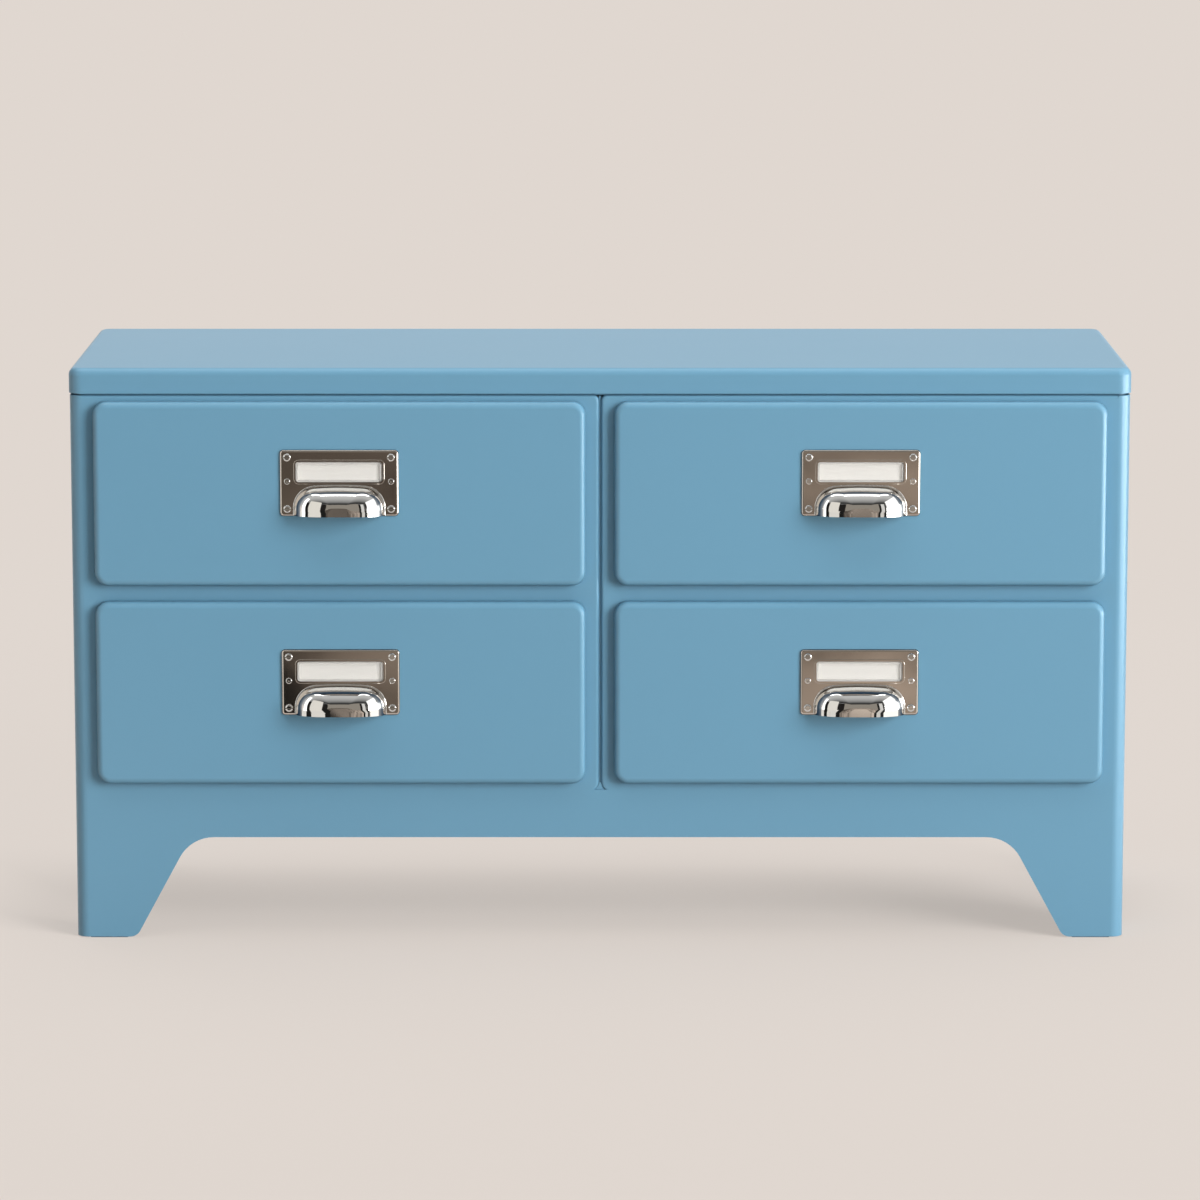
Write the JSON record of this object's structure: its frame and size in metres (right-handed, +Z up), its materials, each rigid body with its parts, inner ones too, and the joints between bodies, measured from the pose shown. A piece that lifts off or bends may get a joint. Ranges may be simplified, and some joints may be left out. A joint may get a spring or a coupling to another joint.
{
  "type": "archive cabinet",
  "caption": "Low steel archive cabinet on splayed legs, with a rounded lid and side-by-side columns of sliding drawers, each with a label window over a cup pull.",
  "frame": {"origin": "on the floor, under the middle of the overall box", "axes": "+X to the right of a person who faces the drawers, +Y towards the back, +Z up"},
  "size_m": [0.8914, 0.336, 0.4873],
  "materials": {
    "blue_lacquer": "pale blue gloss lacquer",
    "nickel_plate": "polished nickel",
    "bright_chrome": "polished chrome",
    "zinc_steel": "zinc plated",
    "white_nylon": "moulded",
    "black_plastic": "moulded",
    "soft_rubber": "soft dots",
    "label_paper": "ivory card",
    "clear_sheet": "clear sheet"
  },
  "bodies": {
    "cabinet": {"right_side_panel": "blue_lacquer", "left_side_panel": "blue_lacquer", "right_front_frame": "blue_lacquer", "left_front_frame": "blue_lacquer", "front_apron": "blue_lacquer", "back_panel": "blue_lacquer", "bottom_panel": "blue_lacquer", "centre_partition": "blue_lacquer", "foot_glides": "black_plastic", "drawer_buffers": "soft_rubber", "top_plate": "blue_lacquer", "top_lid": "blue_lacquer", "lid_screws": "zinc_steel", "drawer_runners": "zinc_steel"},
    "upper_left_drawer": {"upper_left_slides": "zinc_steel", "upper_left_box": "blue_lacquer", "upper_left_front": "blue_lacquer", "upper_left_front_liner": "blue_lacquer", "upper_left_handle_plate": "nickel_plate", "upper_left_label_card": "label_paper", "upper_left_label_cover": "clear_sheet", "upper_left_cup_pull": "bright_chrome", "upper_left_handle_screws": "bright_chrome"},
    "upper_left_runner_rollers": {"upper_left_runner_rollers": "white_nylon"},
    "upper_left_slide_rollers": {"upper_left_slide_rollers": "white_nylon"},
    "upper_right_drawer": {"upper_right_slides": "zinc_steel", "upper_right_box": "blue_lacquer", "upper_right_front": "blue_lacquer", "upper_right_front_liner": "blue_lacquer", "upper_right_handle_plate": "nickel_plate", "upper_right_label_card": "label_paper", "upper_right_label_cover": "clear_sheet", "upper_right_cup_pull": "bright_chrome", "upper_right_handle_screws": "bright_chrome"},
    "upper_right_runner_rollers": {"upper_right_runner_rollers": "white_nylon"},
    "upper_right_slide_rollers": {"upper_right_slide_rollers": "white_nylon"},
    "lower_left_drawer": {"lower_left_slides": "zinc_steel", "lower_left_box": "blue_lacquer", "lower_left_front": "blue_lacquer", "lower_left_front_liner": "blue_lacquer", "lower_left_handle_plate": "nickel_plate", "lower_left_label_card": "label_paper", "lower_left_label_cover": "clear_sheet", "lower_left_cup_pull": "bright_chrome", "lower_left_handle_screws": "bright_chrome"},
    "lower_left_runner_rollers": {"lower_left_runner_rollers": "white_nylon"},
    "lower_left_slide_rollers": {"lower_left_slide_rollers": "white_nylon"},
    "lower_right_drawer": {"lower_right_slides": "zinc_steel", "lower_right_box": "blue_lacquer", "lower_right_front": "blue_lacquer", "lower_right_front_liner": "blue_lacquer", "lower_right_handle_plate": "nickel_plate", "lower_right_label_card": "label_paper", "lower_right_label_cover": "clear_sheet", "lower_right_cup_pull": "bright_chrome", "lower_right_handle_screws": "bright_chrome"},
    "lower_right_runner_rollers": {"lower_right_runner_rollers": "white_nylon"},
    "lower_right_slide_rollers": {"lower_right_slide_rollers": "white_nylon"}
  },
  "joints": [
    {"name": "upper_left_slide", "type": "slide", "parent": "cabinet", "child": "upper_left_drawer", "axis": [0, -1, 0], "range_m": [0, 0.224]},
    {"name": "upper_left_runner_rollers_spin", "type": "hinge", "parent": "cabinet", "child": "upper_left_runner_rollers", "pos_m": [-0.2185, -0.11875, 0.3235], "axis": [1, 0, 0], "continuous": true},
    {"name": "upper_left_slide_rollers_spin", "type": "hinge", "parent": "upper_left_drawer", "child": "upper_left_slide_rollers", "pos_m": [-0.2185, 0.12425, 0.3235], "axis": [1, 0, 0], "continuous": true},
    {"name": "upper_right_slide", "type": "slide", "parent": "cabinet", "child": "upper_right_drawer", "axis": [0, -1, 0], "range_m": [0, 0.224]},
    {"name": "upper_right_runner_rollers_spin", "type": "hinge", "parent": "cabinet", "child": "upper_right_runner_rollers", "pos_m": [0.2185, -0.11875, 0.3235], "axis": [1, 0, 0], "continuous": true},
    {"name": "upper_right_slide_rollers_spin", "type": "hinge", "parent": "upper_right_drawer", "child": "upper_right_slide_rollers", "pos_m": [0.2185, 0.12425, 0.3235], "axis": [1, 0, 0], "continuous": true},
    {"name": "lower_left_slide", "type": "slide", "parent": "cabinet", "child": "lower_left_drawer", "axis": [0, -1, 0], "range_m": [0, 0.224]},
    {"name": "lower_left_runner_rollers_spin", "type": "hinge", "parent": "cabinet", "child": "lower_left_runner_rollers", "pos_m": [-0.2185, -0.11875, 0.154], "axis": [1, 0, 0], "continuous": true},
    {"name": "lower_left_slide_rollers_spin", "type": "hinge", "parent": "lower_left_drawer", "child": "lower_left_slide_rollers", "pos_m": [-0.2185, 0.12425, 0.154], "axis": [1, 0, 0], "continuous": true},
    {"name": "lower_right_slide", "type": "slide", "parent": "cabinet", "child": "lower_right_drawer", "axis": [0, -1, 0], "range_m": [0, 0.224]},
    {"name": "lower_right_runner_rollers_spin", "type": "hinge", "parent": "cabinet", "child": "lower_right_runner_rollers", "pos_m": [0.2185, -0.11875, 0.154], "axis": [1, 0, 0], "continuous": true},
    {"name": "lower_right_slide_rollers_spin", "type": "hinge", "parent": "lower_right_drawer", "child": "lower_right_slide_rollers", "pos_m": [0.2185, 0.12425, 0.154], "axis": [1, 0, 0], "continuous": true}
  ],
  "couplings": [
    {"joint": "upper_left_runner_rollers_spin", "follows": "upper_left_slide", "rad_per_m": 111.11},
    {"joint": "upper_left_slide_rollers_spin", "follows": "upper_left_slide", "rad_per_m": 111.11},
    {"joint": "upper_right_runner_rollers_spin", "follows": "upper_right_slide", "rad_per_m": 111.11},
    {"joint": "upper_right_slide_rollers_spin", "follows": "upper_right_slide", "rad_per_m": 111.11},
    {"joint": "lower_left_runner_rollers_spin", "follows": "lower_left_slide", "rad_per_m": 111.11},
    {"joint": "lower_left_slide_rollers_spin", "follows": "lower_left_slide", "rad_per_m": 111.11},
    {"joint": "lower_right_runner_rollers_spin", "follows": "lower_right_slide", "rad_per_m": 111.11},
    {"joint": "lower_right_slide_rollers_spin", "follows": "lower_right_slide", "rad_per_m": 111.11}
  ]
}
